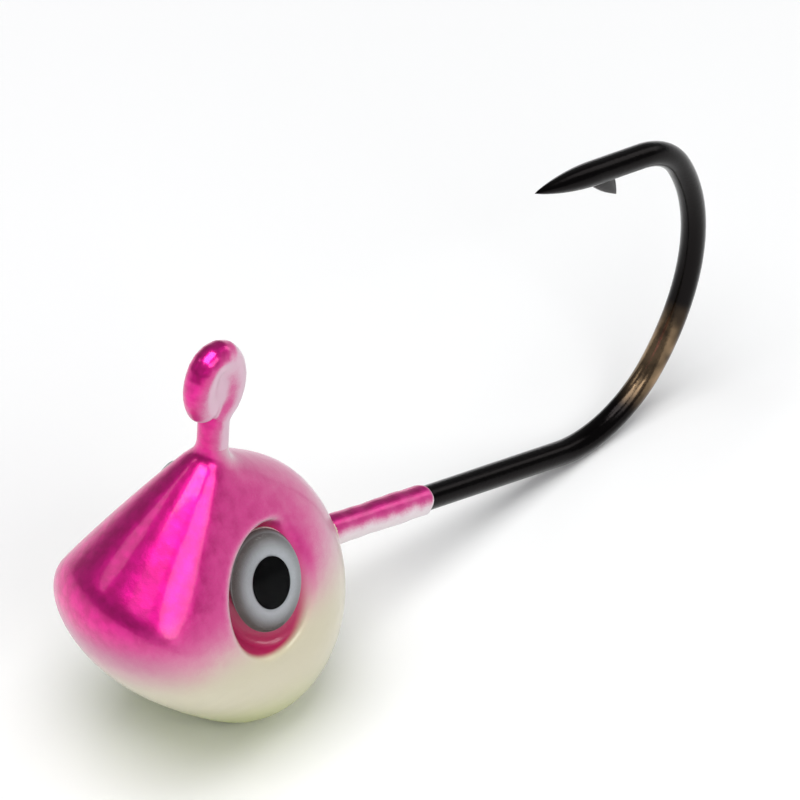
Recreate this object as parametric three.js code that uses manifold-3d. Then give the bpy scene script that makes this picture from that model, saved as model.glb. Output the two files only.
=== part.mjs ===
// Painted jig head for fishing: a lead head cast round a bent hook, with two coats of paint and a
// glued-on domed eye on each side. Millimetres, +Z up. The nose points to -Y and the hook to +Y.
// The origin is the point where the belly rests on a table; the heel of the hook rests on it too.
import * as THREE from "three";
import { mergeVertices } from "three/addons/utils/BufferGeometryUtils.js";
import Module from "manifold-3d";

const wasm = await Module();
wasm.setup();

// Head: the taut skin round three ovals, each with a centre, its half sizes and how many degrees
// its top leans forwards. The ball dips a little below z = 0, where the belly has a small flat.
const BALL = { centre: [0, 0, 5.66], half: [4.12, 4.15, 6.04], lean: 0 };
const MUZZLE = { centre: [0, -4.97, 6.92], half: [4.05, 2.2, 3.85], lean: 28 };
const BROW = { centre: [0, -1.8, 12.5], half: [1.25, 1.25, 1.25], lean: 0 };
const LOBES = [BALL, MUZZLE, BROW];
const LOBE_BLEND = 0.12; // how softly one oval runs into the next
const HEAD_MIDDLE = new THREE.Vector3(0, -1.2, 6.5);
const HEAD_DETAIL = 8;
const PLANE_DETAIL = 22; // fineness of the set of tangent planes tried for each point of the skin
const LEAST_FACING = 0.05; // planes more edge-on than this to a point's direction never bound it

// Hook wire, bent in the plane x = 0. A run is a list of straights and bends from eye to point.
const WIRE_RADIUS = 0.5;
const WIRE_SIDES = 10;
const WIRE_STEP = 0.62;
const EYE_END_RADIUS = 0.66;
const EYE_SIDE_RADIUS = 2.04;
const EYE_SHOULDER_RADIUS = 0.8; // the bend that turns the eye into the neck
const NECK_LEAN = 3.5; // degrees, backwards
const SHANK_FALL = 19.5; // degrees, from the head down to the heel
const NECK_LENGTH = 6.75;
const NECK_BEND_RADIUS = 1.5;
const SHANK_LENGTH = 19.3;
const HEEL_BEND = { radius: 4.7, rise: 48.5 }; // from level to rise degrees
const BACK_BEND = { radius: 9.14, turn: 66.9 };
const TOP_BEND = { radius: 3.53, turn: 46.4 };
const POINT_LEG = 6.1;
const NEEDLE_LENGTH = 3.4;
const NEEDLE_BLUNTNESS = 0.8; // below 1 the needle is fuller near its tip
const NEEDLE_ROOT = 0.2; // how far it runs on inside the wire
const REARMOST = 25.0; // centreline of the bend
const FREE_END_HEADING = 112; // the eye's free end stops just short of the neck
const EYE_FLANK_HEADING = 60; // where the eye's flat flanks turn into its tight ends

// The barb, measured back along the wire from the tip of the point, and out from the wire's middle.
const BARB = { foot: 3.1, heel: 4.6, tip: 5.15, height: 1.45, thickness: 0.42 };

// Coats and clearances.
const FIT_GAP = 0.03;
const BASE_COAT = 0.12;
const CANDY_COAT = 0.06;
const CANDY_EDGE_HEIGHT = 6.1; // the candy coat stops here, above the bare belly
const WIRE_COAT = 0.12;
const FILM_THICKNESS = 0.7; // of the paint that fills the line-tie eye
const FILM_STEPS = 6; // outline points for each bend of the eye
const SHANK_COAT_END = 10.1; // how far back the shank is painted

// Eyes: each a stack of adhesive pad, foil, printed pupil and clear dome in an oval socket.
const EYE_CENTRE = new THREE.Vector3(3.3, -1.5, 9.1);
const EYE_AZIMUTH = 60; // degrees from the nose
const EYE_TILT = 20; // degrees upwards
const EYE_ROLL = 4; // degrees, top leaning forwards
const EYE_HALF = [1.38, 2.1];
const SOCKET_HALF = [1.9, 2.75];
const SOCKET_SHIFT = [-0.1, -0.3]; // the socket reaches further behind and below the eye
const SOCKET_DEPTH = 1.0;
const PAD_THICKNESS = 0.15;
const FOIL_THICKNESS = 0.06;
const PUPIL_THICKNESS = 0.04;
const PUPIL_HALF = [0.68, 1.08];
const PUPIL_SHIFT = [0.22, -0.1]; // the pupil sits behind and below the middle of the foil
const DOME_RIM = 0.35;
const DOME_RISE = 0.45;
const DOME_STEPS = 5;
const OVAL_SEGMENTS = 28;

const PAINTED_CANDY = { color: 0xc81e82, roughness: 0.18, metalness: 0.6 };
const PAINTED_PEARL = { color: 0xd8d2b4, roughness: 0.3, metalness: 0.1 };
const LEAD = { color: 0x7d7f82, roughness: 0.6, metalness: 0.8 };
const BLACK_NICKEL = { color: 0x1d1916, roughness: 0.25, metalness: 0.9 };
const ADHESIVE = { color: 0xe8e6e0, roughness: 0.7, metalness: 0.0 };
const SILVER_FOIL = { color: 0xb9bcc2, roughness: 0.25, metalness: 0.9 };
const PUPIL_INK = { color: 0x060606, roughness: 0.4, metalness: 0.0 };
const CLEAR_RESIN = { color: 0xe6eef2, roughness: 0.05, metalness: 0.0 };

const radians = THREE.MathUtils.degToRad;

function solid(geometry) {
  const bare = geometry.index ? geometry.toNonIndexed() : geometry.clone();
  bare.deleteAttribute("normal");
  bare.deleteAttribute("uv");
  const merged = mergeVertices(bare, 1e-4);
  return new wasm.Manifold(new wasm.Mesh({
    numProp: 3,
    vertProperties: merged.attributes.position.array,
    triVerts: new Uint32Array(merged.index.array),
  }));
}

function named(name, shape, finish) {
  const surface = shape.getMesh();
  const geometry = new THREE.BufferGeometry();
  geometry.setAttribute("position", new THREE.BufferAttribute(surface.vertProperties, 3));
  geometry.setIndex(new THREE.BufferAttribute(surface.triVerts, 1));
  geometry.computeVertexNormals();
  const mesh = new THREE.Mesh(geometry, new THREE.MeshStandardMaterial(finish));
  mesh.name = name;
  return mesh;
}

// Distance of the head's tangent plane with unit normal n, from the origin.
function planeDistance(n) {
  const reach = LOBES.map(({ centre: c, half: h, lean }) => {
    const [back, up] = [Math.cos(radians(lean)), Math.sin(radians(lean))];
    return c[0] * n.x + c[1] * n.y + c[2] * n.z
      + Math.hypot(h[0] * n.x, h[1] * (n.y * back + n.z * up), h[2] * (n.z * back - n.y * up));
  });
  const far = Math.max(...reach);
  const sum = reach.reduce((total, r) => total + Math.exp((r - far) / LOBE_BLEND), 0);
  return far + LOBE_BLEND * Math.log(sum);
}

function unitDirections(detail) {
  const ball = new THREE.IcosahedronGeometry(1, detail);
  ball.deleteAttribute("normal");
  ball.deleteAttribute("uv");
  return mergeVertices(ball, 1e-5);
}

const planeNormals = unitDirections(PLANE_DETAIL).attributes.position;
const planes = Array.from({ length: planeNormals.count }, (_, i) => {
  const normal = new THREE.Vector3().fromBufferAttribute(planeNormals, i).normalize();
  return { normal, distance: planeDistance(normal) - normal.dot(HEAD_MIDDLE) };
});

// The head's skin moved outwards by offset: along each direction, up to the nearest tangent plane.
function headForm(offset) {
  const skin = unitDirections(HEAD_DETAIL);
  const points = skin.attributes.position;
  const way = new THREE.Vector3();
  for (let i = 0; i < points.count; i += 1) {
    way.fromBufferAttribute(points, i).normalize();
    let reach = Infinity;
    for (const { normal, distance } of planes) {
      const facing = normal.dot(way);
      if (facing > LEAST_FACING) reach = Math.min(reach, (distance + offset) / facing);
    }
    way.multiplyScalar(reach).add(HEAD_MIDDLE);
    points.setXYZ(i, way.x, way.y, way.z);
  }
  return solid(skin);
}

// A straight or an arc in the plane x = 0, for the wire's path. Heading 0 is +Y and 90 is +Z.
class Bend extends THREE.Curve {
  constructor(start, heading, length, radius = Infinity, side = 1) {
    super();
    Object.assign(this, { start, heading, length, radius, side });
  }
  headingAt(t) {
    return this.heading + this.side * (t * this.length) / this.radius;
  }
  getPoint(t, target = new THREE.Vector3()) {
    const [a, b] = [this.heading, this.headingAt(t)];
    if (this.radius === Infinity) {
      return target.set(0, Math.cos(a), Math.sin(a)).multiplyScalar(t * this.length).add(this.start);
    }
    const r = this.radius * this.side;
    return target.set(0, r * (Math.sin(b) - Math.sin(a)), r * (Math.cos(a) - Math.cos(b)))
      .add(this.start);
  }
}

function bendWire(run, heading) {
  const path = new THREE.CurvePath();
  let at = new THREE.Vector3();
  let angle = radians(heading);
  for (const { straight, radius, turn } of run) {
    const piece = radius
      ? new Bend(at, angle, radius * Math.abs(radians(turn)), radius, Math.sign(turn))
      : new Bend(at, angle, straight);
    path.add(piece);
    at = piece.getPoint(1);
    angle = piece.radius === Infinity ? angle : piece.headingAt(1);
  }
  return path;
}

const EYE_RUN = [
  { radius: EYE_SIDE_RADIUS, turn: EYE_FLANK_HEADING - FREE_END_HEADING },
  { radius: EYE_END_RADIUS, turn: -2 * EYE_FLANK_HEADING },
  { radius: EYE_SIDE_RADIUS, turn: -EYE_FLANK_HEADING },
  { radius: EYE_END_RADIUS, turn: EYE_FLANK_HEADING - 90 },
  { radius: EYE_SHOULDER_RADIUS, turn: EYE_FLANK_HEADING - NECK_LEAN },
];
const BODY_RUN = [
  { straight: NECK_LENGTH },
  { radius: NECK_BEND_RADIUS, turn: 90 + NECK_LEAN - SHANK_FALL },
  { straight: SHANK_LENGTH },
];
const HOOK_RUN = [
  { radius: HEEL_BEND.radius, turn: HEEL_BEND.rise + SHANK_FALL },
  { radius: BACK_BEND.radius, turn: BACK_BEND.turn },
  { radius: TOP_BEND.radius, turn: TOP_BEND.turn },
  { straight: POINT_LEG - NEEDLE_LENGTH },
];

// Moves the whole path so that its heel rests on z = 0 and its bend ends at REARMOST.
function settle(path) {
  const hookPart = path.curves.slice(-HOOK_RUN.length).flatMap((piece) => piece.getPoints(60));
  const box = new THREE.Box3().setFromPoints(hookPart);
  const shift = new THREE.Vector3(0, REARMOST - box.max.y, WIRE_RADIUS - box.min.z);
  path.curves.forEach((piece) => piece.start.add(shift));
  return path;
}

function stretch(path, from, to) {
  const part = new THREE.CurvePath();
  path.curves.slice(from, to).forEach((piece) => part.add(piece));
  return part;
}

function tube(path, radius) {
  const round = new THREE.Shape().absarc(0, 0, radius, 0, 2 * Math.PI);
  const steps = Math.max(2, Math.round(path.getLength() / WIRE_STEP));
  return solid(new THREE.ExtrudeGeometry(round, {
    steps, curveSegments: WIRE_SIDES / 2, bevelEnabled: false, extrudePath: path,
  }));
}

// The frame of the needle point: origin at the tip, x back along the wire, y towards the shank.
function pointFrame(path) {
  const forward = path.curves.at(-1).getTangent(1);
  const tip = path.curves.at(-1).getPoint(1).addScaledVector(forward, NEEDLE_LENGTH);
  const back = forward.clone().negate();
  const inner = new THREE.Vector3(0, -forward.z, forward.y);
  const across = new THREE.Vector3().crossVectors(back, inner);
  return new THREE.Matrix4().makeBasis(back, inner, across).setPosition(tip);
}

function needle(frame) {
  const profile = [new THREE.Vector2(0, 0)];
  for (const share of [0.15, 0.4, 0.7, 1]) {
    const radius = WIRE_RADIUS * Math.sin((share * Math.PI) / 2) ** NEEDLE_BLUNTNESS;
    profile.push(new THREE.Vector2(radius, share * NEEDLE_LENGTH));
  }
  profile.push(new THREE.Vector2(WIRE_RADIUS, NEEDLE_LENGTH + NEEDLE_ROOT));
  profile.push(new THREE.Vector2(0, NEEDLE_LENGTH + NEEDLE_ROOT));
  const lathe = new THREE.LatheGeometry(profile, WIRE_SIDES);
  lathe.rotateZ(-Math.PI / 2);
  return solid(lathe.applyMatrix4(frame));
}

function barb(frame) {
  const sliver = new THREE.Shape();
  sliver.moveTo(BARB.foot, WIRE_RADIUS / 2);
  sliver.lineTo(BARB.heel, WIRE_RADIUS / 2);
  sliver.lineTo(BARB.tip, BARB.height);
  const wedge = new THREE.ExtrudeGeometry(sliver, { depth: BARB.thickness, bevelEnabled: false });
  wedge.translate(0, 0, -BARB.thickness / 2);
  return solid(wedge.applyMatrix4(frame));
}

// The frame of one eye: origin on the head's skin, z out of the socket, y up the long way.
function eyeFrame(side) {
  const [azimuth, tilt] = [radians(EYE_AZIMUTH), radians(EYE_TILT)];
  const out = new THREE.Vector3(
    side * Math.sin(azimuth) * Math.cos(tilt), -Math.cos(azimuth) * Math.cos(tilt), Math.sin(tilt));
  const up = new THREE.Vector3(0, 0, 1).projectOnPlane(out).normalize();
  up.applyAxisAngle(out, side * radians(-EYE_ROLL));
  const across = new THREE.Vector3().crossVectors(up, out);
  const place = new THREE.Vector3(side * EYE_CENTRE.x, EYE_CENTRE.y, EYE_CENTRE.z);
  return new THREE.Matrix4().makeBasis(across, up, out).setPosition(place);
}

function ovalDisc(half, bottom, thickness) {
  const disc = new THREE.CylinderGeometry(1, 1, thickness, OVAL_SEGMENTS);
  disc.rotateX(Math.PI / 2).translate(0, 0, bottom + thickness / 2);
  return disc.scale(half[0], half[1], 1);
}

function domeShape(bottom) {
  const profile = [new THREE.Vector2(0, 0), new THREE.Vector2(1, 0)];
  for (let i = 0; i <= DOME_STEPS; i += 1) {
    const angle = (i * Math.PI) / (2 * DOME_STEPS);
    profile.push(new THREE.Vector2(Math.cos(angle), DOME_RIM + DOME_RISE * Math.sin(angle)));
  }
  profile.at(-1).x = 0;
  const dome = new THREE.LatheGeometry(profile, OVAL_SEGMENTS);
  return dome.rotateX(Math.PI / 2).translate(0, 0, bottom).scale(EYE_HALF[0], EYE_HALF[1], 1);
}

function eyeStack(side, label) {
  const stack = new THREE.Group();
  stack.applyMatrix4(eyeFrame(side));
  const floor = -SOCKET_DEPTH + FIT_GAP;
  const foil = floor + PAD_THICKNESS + FIT_GAP;
  const pupil = foil + FOIL_THICKNESS + FIT_GAP;
  const dome = pupil + PUPIL_THICKNESS + FIT_GAP;
  stack.add(named(`${label}_eye_pad`, solid(ovalDisc(EYE_HALF, floor, PAD_THICKNESS)), ADHESIVE));
  stack.add(named(`${label}_eye_foil`, solid(ovalDisc(EYE_HALF, foil, FOIL_THICKNESS)), SILVER_FOIL));
  const print = ovalDisc(PUPIL_HALF, pupil, PUPIL_THICKNESS);
  print.translate(side * PUPIL_SHIFT[0], PUPIL_SHIFT[1], 0);
  stack.add(named(`${label}_eye_pupil`, solid(print), PUPIL_INK));
  stack.add(named(`${label}_eye_dome`, solid(domeShape(dome)), CLEAR_RESIN));
  return stack;
}

function sockets() {
  const pair = [1, -1].map((side) => {
    const cutter = ovalDisc(SOCKET_HALF, -SOCKET_DEPTH, 4 * SOCKET_DEPTH);
    cutter.translate(-side * SOCKET_SHIFT[0], SOCKET_SHIFT[1], 0);
    return solid(cutter.applyMatrix4(eyeFrame(side)));
  });
  return pair[0].add(pair[1]);
}

// Everything above a height, as a block much bigger than the head.
function above(height) {
  const size = REARMOST;
  return solid(new THREE.BoxGeometry(size, size, size).translate(0, 0, height + size / 2));
}

// The film of paint that fills the line-tie eye, out to the middle of its wire.
function eyeFilm(path) {
  const outline = path.curves.flatMap((piece) => piece.getPoints(FILM_STEPS));
  const shape = new THREE.Shape(outline.map(({ y, z }) => new THREE.Vector2(y, z)));
  const film = new THREE.ExtrudeGeometry(shape, { depth: FILM_THICKNESS, bevelEnabled: false });
  film.translate(0, 0, -FILM_THICKNESS / 2);
  const upright = new THREE.Matrix4().makeBasis(
    new THREE.Vector3(0, 1, 0), new THREE.Vector3(0, 0, 1), new THREE.Vector3(1, 0, 0));
  return solid(film.applyMatrix4(upright));
}

const wirePath = settle(bendWire([...EYE_RUN, ...BODY_RUN, ...HOOK_RUN], FREE_END_HEADING));
const eyeAndNeck = stretch(wirePath, 0, EYE_RUN.length + 1);
const neckToShank = stretch(wirePath, EYE_RUN.length, EYE_RUN.length + BODY_RUN.length);
const tip = pointFrame(wirePath);
const hollow = sockets();
const channel = tube(neckToShank, WIRE_RADIUS + FIT_GAP);

const hook = tube(wirePath, WIRE_RADIUS).add(needle(tip)).add(barb(tip));

const casting = headForm(-BASE_COAT - FIT_GAP).intersect(above(BASE_COAT + FIT_GAP))
  .subtract(hollow).subtract(channel);

const coatedChannel = tube(neckToShank, WIRE_RADIUS + WIRE_COAT + 2 * FIT_GAP);
const underBaseCoat = headForm(-BASE_COAT).intersect(above(BASE_COAT));
const baseCoat = headForm(0).intersect(above(0)).subtract(underBaseCoat).subtract(hollow)
  .subtract(coatedChannel);
const candyCoat = headForm(FIT_GAP + CANDY_COAT).subtract(headForm(FIT_GAP)).subtract(hollow)
  .subtract(coatedChannel).intersect(above(CANDY_EDGE_HEIGHT));

const outsideSkin = headForm(2 * FIT_GAP + CANDY_COAT);
const lineTieCoat = tube(eyeAndNeck, WIRE_RADIUS + WIRE_COAT)
  .add(eyeFilm(stretch(wirePath, 0, EYE_RUN.length)))
  .subtract(tube(eyeAndNeck, WIRE_RADIUS + FIT_GAP)).subtract(outsideSkin);

function shankCoat() {
  const shank = wirePath.curves[EYE_RUN.length + 2];
  const heading = radians(-SHANK_FALL);
  const paintedLength = (SHANK_COAT_END - shank.start.y) / Math.cos(heading);
  const painted = new Bend(shank.start, heading, paintedLength);
  return tube(painted, WIRE_RADIUS + WIRE_COAT).subtract(tube(painted, WIRE_RADIUS + FIT_GAP))
    .subtract(outsideSkin);
}

const jigHead = new THREE.Group();
jigHead.add(named("hook", hook, BLACK_NICKEL));
jigHead.add(named("head_casting", casting, LEAD));
jigHead.add(named("base_coat", baseCoat, PAINTED_PEARL));
jigHead.add(named("candy_coat", candyCoat, PAINTED_CANDY));
jigHead.add(named("line_tie_coat", lineTieCoat, PAINTED_CANDY));
jigHead.add(named("shank_coat", shankCoat(), PAINTED_CANDY));
jigHead.add(eyeStack(1, "left"), eyeStack(-1, "right"));

export default jigHead;
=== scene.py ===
import math

import bpy
import numpy as np
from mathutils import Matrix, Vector


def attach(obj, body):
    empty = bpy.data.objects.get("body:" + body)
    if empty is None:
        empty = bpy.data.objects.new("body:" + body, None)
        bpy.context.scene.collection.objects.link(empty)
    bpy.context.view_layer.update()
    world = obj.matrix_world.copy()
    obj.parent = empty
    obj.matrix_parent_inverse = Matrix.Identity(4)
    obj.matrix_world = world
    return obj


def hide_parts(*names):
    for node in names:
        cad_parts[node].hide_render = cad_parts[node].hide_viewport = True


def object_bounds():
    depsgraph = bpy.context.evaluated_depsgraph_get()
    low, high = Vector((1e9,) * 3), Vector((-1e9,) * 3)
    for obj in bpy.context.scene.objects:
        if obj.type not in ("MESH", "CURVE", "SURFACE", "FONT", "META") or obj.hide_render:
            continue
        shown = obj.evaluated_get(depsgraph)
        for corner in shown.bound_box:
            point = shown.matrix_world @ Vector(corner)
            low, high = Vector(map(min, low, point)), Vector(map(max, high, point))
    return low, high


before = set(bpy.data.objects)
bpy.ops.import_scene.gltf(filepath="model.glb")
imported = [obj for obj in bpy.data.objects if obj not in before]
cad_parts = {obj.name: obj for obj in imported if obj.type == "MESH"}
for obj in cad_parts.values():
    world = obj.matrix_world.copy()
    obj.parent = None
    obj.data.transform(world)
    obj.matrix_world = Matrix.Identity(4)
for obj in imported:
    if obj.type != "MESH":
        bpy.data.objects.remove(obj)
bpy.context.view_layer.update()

MM = 0.001

# Head: the taut skin round three ovals, softly blended.
LOBE_CENTRES = np.array([[0, 0, 5.66], [0, -4.97, 6.92], [0, -1.8, 12.5]])
LOBE_HALVES = np.array([[4.12, 4.15, 6.04], [4.05, 2.2, 3.85], [1.25, 1.25, 1.25]])
LOBE_LEANS = np.radians([0, 28, 0])  # how far each oval's top leans forwards
LOBE_BLEND = 0.12
SKIN_OFFSET = 0.09  # the skin's outer surface, out from the bare form
SKIN_STEP = 0.125  # mesh size of the head
COARSE_STEP = 0.5  # grid on which the head's distance is first worked out
HEAD_LOW, HEAD_HIGH = np.array([-4.9, -8.55, -0.55]), np.array([4.9, 6.4, 15.4])
NEAR_SKIN = 1.9  # grid points this close to the skin get their exact shape
START_NORMALS = 500  # directions tried for a first guess of a point's tangent plane
PLANE_TRIES = 12  # steps that then refine it
SETTLE_ROUNDS, SETTLE_STEPS = 3, 2  # of smoothing, and of moving back on the surface after each
SETTLE_LIMIT = 0.1  # the longest such move
SKIN_FILLET = 0.26  # how softly the skin runs up the neck and the shank
COLLAR_INSET = 0.02  # how far the skin's collars lie inside the wire's own paint
LIP_ROUNDING = 0.11
BELLY_ROUNDING = 0.05
BELLY_TOP = 2.0  # below this the skin has no sockets
COLLAR_REACH = 1.1  # how far the skin's fillets run along the neck and the shank
COLLAR_STRIDE = 3

# Hook wire in the plane x = 0: straights and bends from the eye's free end to the point.
WIRE_RADIUS = 0.5
WIRE_COAT = 0.12
FREE_END_HEADING = 112
EYE_FLANK_HEADING = 60
EYE_SIDE_RADIUS, EYE_END_RADIUS, EYE_SHOULDER_RADIUS = 2.04, 0.66, 0.8
NECK_LEAN = 3.5
SHANK_FALL = 19.5
NECK_LENGTH, NECK_BEND_RADIUS, SHANK_LENGTH = 6.75, 1.5, 19.3
HEEL_BEND_RADIUS, HEEL_BEND_RISE = 4.7, 48.5
BACK_BEND_RADIUS, BACK_BEND_TURN = 9.14, 66.9
TOP_BEND_RADIUS, TOP_BEND_TURN = 3.53, 46.4
POINT_LEG, NEEDLE_LENGTH, NEEDLE_BLUNTNESS = 6.1, 3.4, 0.8
REARMOST = 25.0
WIRE_STEP = 0.15
RING_POINTS = 28
EYE_BENDS = 5
NEEDLE_STEPS = 40
POINT_TIP = 0.012  # radius of the very tip
FREE_END_REACHES = (0, 0.02, 0.06, 0.12)  # along the wire from its cut end, whose edge is rounded
FREE_END_SHARES = (0.8, 0.93, 0.98)  # of the wire's radius there
PLAIN_START, PLAIN_END = 0.25, 0.05  # the plain wire starts and stops this far from its two ends
NEEDLE_SPACING = 1.5  # above 1, the needle's rings lie closer together towards the tip

# Paint sleeve on the shank: its end, its rounded rim, and the waves in its rim and surface.
SHANK_COAT_END = 10.1
SHANK_COAT_DEPTH = 0.9  # how far inside the head it starts
SLEEVE_STEP = 0.2
RIM_REACHES = (0.2, 0.12, 0.06, 0.02, 0, -0.01)  # back from the sleeve's end
RIM_SHARES = (0.97, 0.85, 0.55, 0.2, -0.1)  # of the coat's thickness, for the last of them
RIM_WAVES = ((0.09, 1, 0.7), (0.05, 3, 0), (0.03, 5, 2))  # height, waves round the wire, turn
RIM_WAVE_REACH = 0.8
SLEEVE_WAVES = ((0.012, 2.1, 0), (0.008, 5.3, 1))  # height, radians per millimetre, start

# The paint film that fills the line tie's eye.
FILM_HALF = 0.5  # half its thickness, so that it is nearly flush with the painted wire
FILM_DIP, FILM_DIP_REACH = 0.05, 0.5  # a shallow groove in the film, and how far in from the wire
FILM_BLEND = 0.09
NECK_COAT_DEPTH = 1.2  # how far inside the head the neck's paint starts
LINE_TIE_STEP = 0.08
LINE_TIE_MARGIN = 1.0  # free grid round the wire's middle

# The barb, measured back along the wire from the tip, and out from the wire's middle.
BARB_FOOT, BARB_HEEL, BARB_TIP = np.array([3.1, 0.36]), np.array([4.5, 0.3]), np.array([5.15, 1.45])
BARB_THICKNESS, BARB_EDGE = 0.42, 0.03
BARB_BOW = 0.1  # how far its outer side swells and its inner side is scooped out
BARB_OUTER_BOW, BARB_INNER_BOW = np.array([-0.3, 1]), np.array([0.5, -1])
BARB_SPREAD = np.array([-0.01, 0.012])  # keeps the last ring from closing to nothing
BARB_TAPER = 0.6
BARB_RINGS, BARB_RING_POINTS = 12, 16

# Eyes: pad, foil, pupil and clear dome in an oval socket on each side.
EYE_CENTRE = np.array([3.3, -1.5, 9.1])
EYE_AZIMUTH, EYE_TILT, EYE_ROLL = 60, 20, 4
EYE_HALF = (1.38, 2.1)
SOCKET_HALF = (1.9, 2.75)
SOCKET_SHIFT = (-0.1, -0.3)
SOCKET_DEPTH = 1.0
SOCKET_PAINT = 0.05
PAD_BOTTOM, PAD_TOP, FOIL_TOP, PUPIL_TOP = -0.97, -0.82, -0.73, -0.66
PLATE_GAP = 0.01
PAD_INSET, FOIL_INSET = 0.04, 0.05  # how much narrower these are than the dome
PAD_EDGE, FOIL_EDGE, PUPIL_EDGE, DOME_EDGE = 0.03, 0.015, 0.012, 0.03  # their rounded edges
FOIL_SHARES = (0.9, 0.8, 0.7, 0.6, 0.5)  # rings across the foil's face
DOME_BOTTOM = -0.63
PUPIL_HALF = (0.68, 1.08)
PUPIL_SHIFT = (0.22, -0.1)  # behind and below the foil's middle
DOME_RIM, DOME_RISE = 0.35, 0.45
DOME_SINK = 0.015  # the dome's back lies this far into the foil, as resin that has wetted it
DOME_RINGS, DOME_LAST = 26, 0.985  # rings up the dome, and the share of its height they reach
OVAL_POINTS = 72


def unit(vectors):
    return vectors / np.linalg.norm(vectors, axis=-1, keepdims=True)


# ---------------------------------------------------------------- meshes


def make_piece(name, points, faces, material, smooth=True, cut_angle=None):
    """A mesh object riding on the one body, from points in millimetres."""
    mesh = bpy.data.meshes.new(name)
    mesh.from_pydata((np.asarray(points) * MM).tolist(), [], [list(f) for f in faces])
    mesh.validate()
    mesh.polygons.foreach_set("use_smooth", [smooth] * len(mesh.polygons))
    if cut_angle:
        mesh.set_sharp_from_angle(angle=math.radians(cut_angle))
    piece = bpy.data.objects.new(name, mesh)
    piece.data.materials.append(material)
    bpy.context.scene.collection.objects.link(piece)
    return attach(piece, "root")


def ring_faces(rings, around, outwards=True):
    """Faces of a closed stack of rings. outwards is False where the rings run the other way round."""
    faces = []
    for i in range(rings - 1):
        for j in range(around):
            k = (j + 1) % around
            a, b = i * around, (i + 1) * around
            corners = (a + j, a + k, b + k, b + j) if outwards else (a + j, b + j, b + k, a + k)
            faces.append(corners)
    first = tuple(range(around))
    last = tuple((rings - 1) * around + j for j in first)
    return faces + ([first[::-1], last] if outwards else [first, last[::-1]])


def surface_nets(field, low, step):
    """Points and quads of the surface where a gridded field crosses zero. The field is negative inside."""
    cells = np.array(field.shape) - 1
    strides = np.array([cells[1] * cells[2], cells[2], 1])
    total = np.zeros((cells.prod(), 3))
    count = np.zeros(cells.prod())
    quads = []
    for axis in range(3):
        here = np.take(field, range(field.shape[axis] - 1), axis)
        there = np.take(field, range(1, field.shape[axis]), axis)
        at = np.argwhere((here < 0) != (there < 0))
        near, far = here[tuple(at.T)], there[tuple(at.T)]
        crossing = at.astype(float)
        crossing[:, axis] += near / (near - far)
        one, two = [k for k in range(3) if k != axis]
        corners = []
        for back_one, back_two in ((0, 0), (1, 0), (1, 1), (0, 1)):
            cell = at.copy()
            cell[:, one] -= back_one
            cell[:, two] -= back_two
            index = cell @ strides
            corners.append(index)
            count += np.bincount(index, minlength=len(count))
            for k in range(3):
                total[:, k] += np.bincount(index, crossing[:, k], minlength=len(count))
        ring = np.stack(corners, 1)
        flip = (near < 0) == (axis == 1)
        ring[flip] = ring[flip, ::-1]
        quads.append(ring)
    quads = np.concatenate(quads)
    used, quads = np.unique(quads, return_inverse=True)
    quads = quads.reshape(-1, 4)
    points = total[used] / count[used, None] * step + low
    return points, quads


def relax(points, quads):
    """Each point moved to the mean of its neighbours."""
    edges = np.concatenate([quads[:, [k, (k + 1) % 4]] for k in range(4)])
    count = np.bincount(edges[:, 0], minlength=len(points))
    mean = [np.bincount(edges[:, 0], points[edges[:, 1], k], minlength=len(points)) for k in range(3)]
    return np.stack(mean, 1) / count[:, None]


def settle_on(points, quads, shape):
    """Smooths the mesh, keeping its points on the surface of shape, which gives distance and slope."""
    for _ in range(SETTLE_ROUNDS):
        points = relax(points, quads)
        for _ in range(SETTLE_STEPS):
            distance, slope = shape(points)
            move = distance / np.maximum((slope ** 2).sum(1), 0.1)
            points = points - slope * np.clip(move, -SETTLE_LIMIT, SETTLE_LIMIT)[:, None]
    return points


def soft_max(parts, blend):
    """The larger of several (distance, slope) pairs, rounded where they are close."""
    distances = np.stack([d for d, _ in parts])
    slopes = np.stack([g for _, g in parts])
    top = distances.max(0)
    weight = np.exp((distances - top) / blend)
    total = weight.sum(0)
    return top + blend * np.log(total), (weight[..., None] * slopes).sum(0) / total[:, None]


def opposite(part):
    return -part[0], -part[1]


def soft_min(parts, blend):
    return opposite(soft_max([opposite(part) for part in parts], blend))


# ---------------------------------------------------------------- the wire's path


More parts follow.
